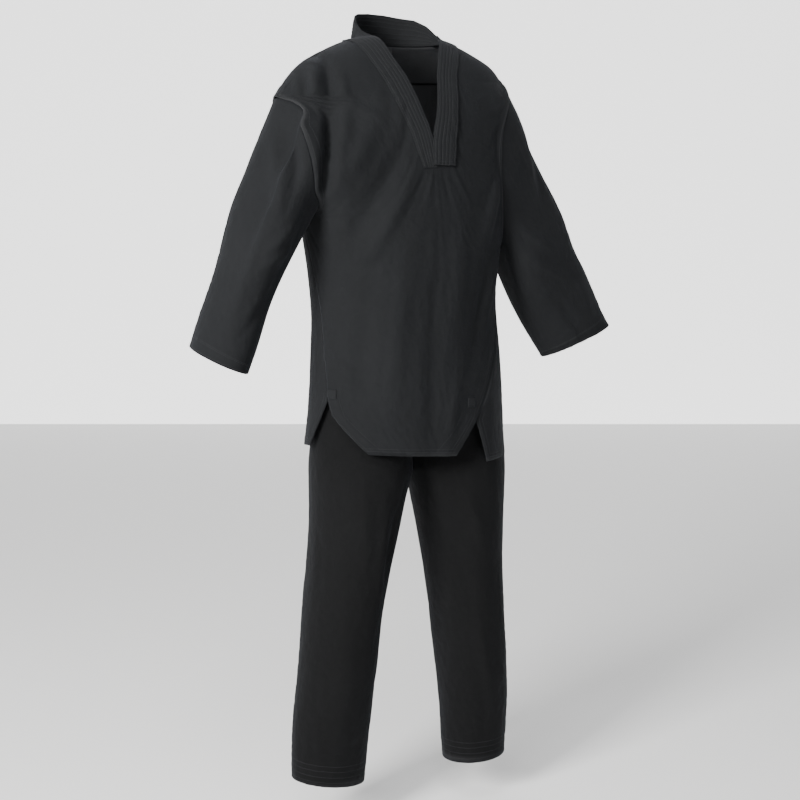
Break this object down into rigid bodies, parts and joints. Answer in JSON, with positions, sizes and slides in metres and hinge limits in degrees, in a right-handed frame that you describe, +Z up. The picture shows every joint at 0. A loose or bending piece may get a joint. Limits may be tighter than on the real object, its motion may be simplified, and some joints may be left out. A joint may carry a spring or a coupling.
{
  "type": "martial arts uniform",
  "caption": "Black cotton martial arts uniform as worn: V-neck pullover jacket with stitched lapels and side vents over straight trousers; sleeves and legs swing",
  "frame": {"origin": "centre of the top of the trousers' waistband, where the wearer's waist holds the uniform up", "axes": "+Z up, -Y the way the wearer faces, +X the wearer's left"},
  "size_m": [0.8364, 0.266, 1.383],
  "materials": {
    "jacket_cloth": "black cotton drill, matt",
    "trouser_cloth": "black cotton drill, matt",
    "elastic": "woven elastic",
    "label_tape": "blank woven label",
    "tape": "cotton tape"
  },
  "bodies": {
    "trousers": {"waistband": "trouser_cloth", "waist_elastic": "elastic", "hip_front": "trouser_cloth", "hip_back": "trouser_cloth", "crotch_gusset": "trouser_cloth"},
    "jacket": {"front_panel": "jacket_cloth", "back_panel": "jacket_cloth", "collar_stand": "jacket_cloth", "yoke_lining": "jacket_cloth", "hem_facing_front": "jacket_cloth", "hem_facing_back": "jacket_cloth", "neck_label": "label_tape", "hanging_loop": "tape", "vent_facing_right_front": "jacket_cloth", "vent_facing_right_back": "jacket_cloth", "vent_facing_left_front": "jacket_cloth", "vent_facing_left_back": "jacket_cloth", "gusset_right": "jacket_cloth", "gusset_left": "jacket_cloth", "lapel_right": "jacket_cloth", "lapel_left": "jacket_cloth", "vent_patch_right": "jacket_cloth", "vent_patch_left": "jacket_cloth"},
    "right_sleeve": {"sleeve_crown_right": "jacket_cloth", "sleeve_right": "jacket_cloth", "cuff_facing_right": "jacket_cloth"},
    "left_sleeve": {"sleeve_crown_left": "jacket_cloth", "sleeve_left": "jacket_cloth", "cuff_facing_left": "jacket_cloth"},
    "right_leg": {"thigh_right": "trouser_cloth", "leg_right": "trouser_cloth", "leg_hem_facing_right": "trouser_cloth"},
    "left_leg": {"thigh_left": "trouser_cloth", "leg_left": "trouser_cloth", "leg_hem_facing_left": "trouser_cloth"}
  },
  "joints": [
    {"name": "jacket_lift", "type": "slide", "parent": "trousers", "child": "jacket", "axis": [0, 0, 1], "range_m": [0, 0.4]},
    {"name": "right_sleeve_raise", "type": "hinge", "parent": "jacket", "child": "right_sleeve", "pos_m": [-0.215, 0, 0.262], "axis": [0, 1, 0], "range_deg": [0, 60], "deforming": ["sleeve_crown_right"]},
    {"name": "left_sleeve_raise", "type": "hinge", "parent": "jacket", "child": "left_sleeve", "pos_m": [0.215, 0, 0.262], "axis": [0, -1, 0], "range_deg": [0, 60], "deforming": ["sleeve_crown_left"]},
    {"name": "right_leg_swing", "type": "hinge", "parent": "trousers", "child": "right_leg", "pos_m": [-0.097, 0, -0.405], "axis": [-1, 0, 0], "range_deg": [-20, 40], "deforming": ["thigh_right"]},
    {"name": "left_leg_swing", "type": "hinge", "parent": "trousers", "child": "left_leg", "pos_m": [0.097, 0, -0.405], "axis": [-1, 0, 0], "range_deg": [-20, 40], "deforming": ["thigh_left"]}
  ]
}
